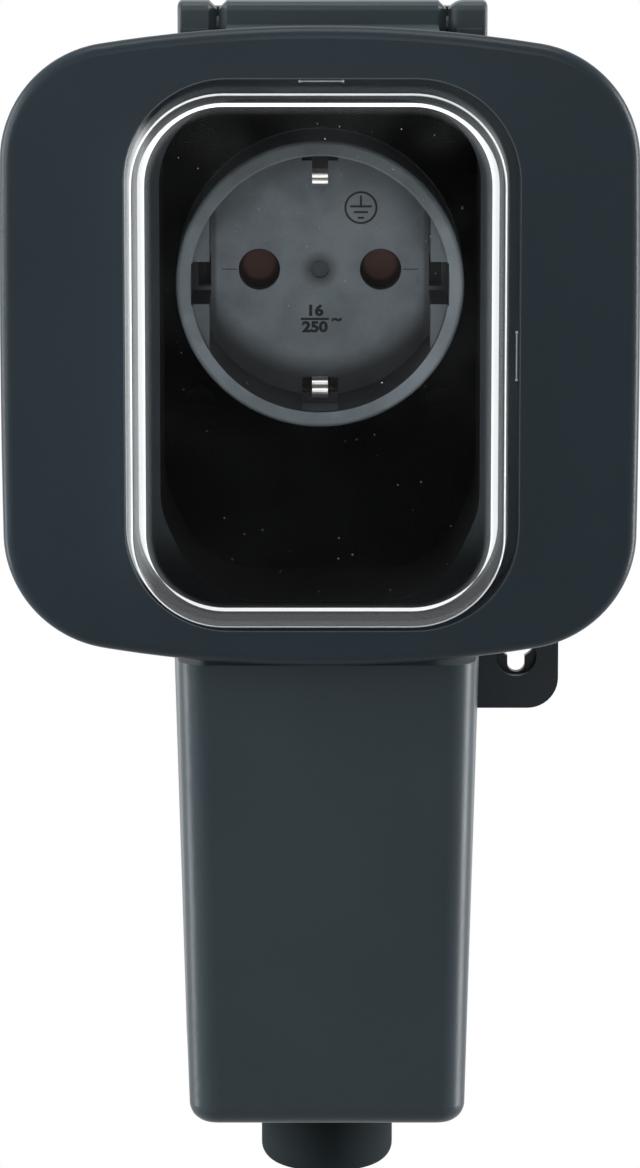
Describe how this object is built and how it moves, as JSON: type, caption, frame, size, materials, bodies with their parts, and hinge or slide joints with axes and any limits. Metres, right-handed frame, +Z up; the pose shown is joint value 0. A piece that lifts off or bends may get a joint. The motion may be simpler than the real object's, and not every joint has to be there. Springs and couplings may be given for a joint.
{
  "type": "outdoor weatherproof socket",
  "caption": "Wall socket for outdoors: a two-pin earthed well in a tray, under a hinged lid with a clear raised window, over a narrow wiring chamber with a rubber cable entry.",
  "frame": {"origin": "on the wall plane, behind the middle of the socket well", "axes": "+X to the right as seen from the front, +Y into the wall, +Z up"},
  "size_m": [0.0956, 0.0781, 0.1865],
  "materials": {
    "body_plastic": "fine satin",
    "lid_plastic": "fine satin",
    "plate_plastic": "fine satin",
    "clear_window": "clear polished",
    "well_plastic": "satin",
    "carrier_plastic": "satin",
    "clamp_plastic": "satin",
    "shutter_plastic": "satin",
    "grommet_rubber": "matt",
    "seal_rubber": "matt",
    "contact_brass": "drawn",
    "clip_metal": "plated",
    "screw_steel": "plated",
    "black_screw": "black",
    "pin_steel": "bright",
    "spring_steel": "bright"
  },
  "bodies": {
    "base": {"housing": "body_plastic", "back_plate": "plate_plastic", "back_seal": "seal_rubber", "back_plate_screws": "screw_steel", "lid_seal": "seal_rubber", "hinge_pin": "pin_steel", "socket_well": "well_plastic", "socket_screws": "black_screw", "contact_carrier": "carrier_plastic", "carrier_screws": "screw_steel", "left_contact": "contact_brass", "right_contact": "contact_brass", "earth_strap": "clip_metal", "terminal_screws": "screw_steel", "shutter_spring": "spring_steel", "cable_grommet": "grommet_rubber", "cord_clamp": "clamp_plastic", "cord_clamp_screws": "screw_steel"},
    "lid": {"lid": "lid_plastic", "window": "clear_window", "window_seal": "seal_rubber"},
    "shutter": {"shutter": "shutter_plastic"}
  },
  "joints": [
    {"name": "lid_hinge", "type": "hinge", "parent": "base", "child": "lid", "pos_m": [0.0019, -0.044, 0.0399], "axis": [-1, 0, 0], "range_deg": [0, 110]},
    {"name": "shutter_slide", "type": "slide", "parent": "base", "child": "shutter", "axis": [0, 0, 1], "range_m": [0, 0.0075], "stiffness_N_per_m": 60, "springref_m": -0.004, "deforming": ["shutter_spring"]}
  ]
}
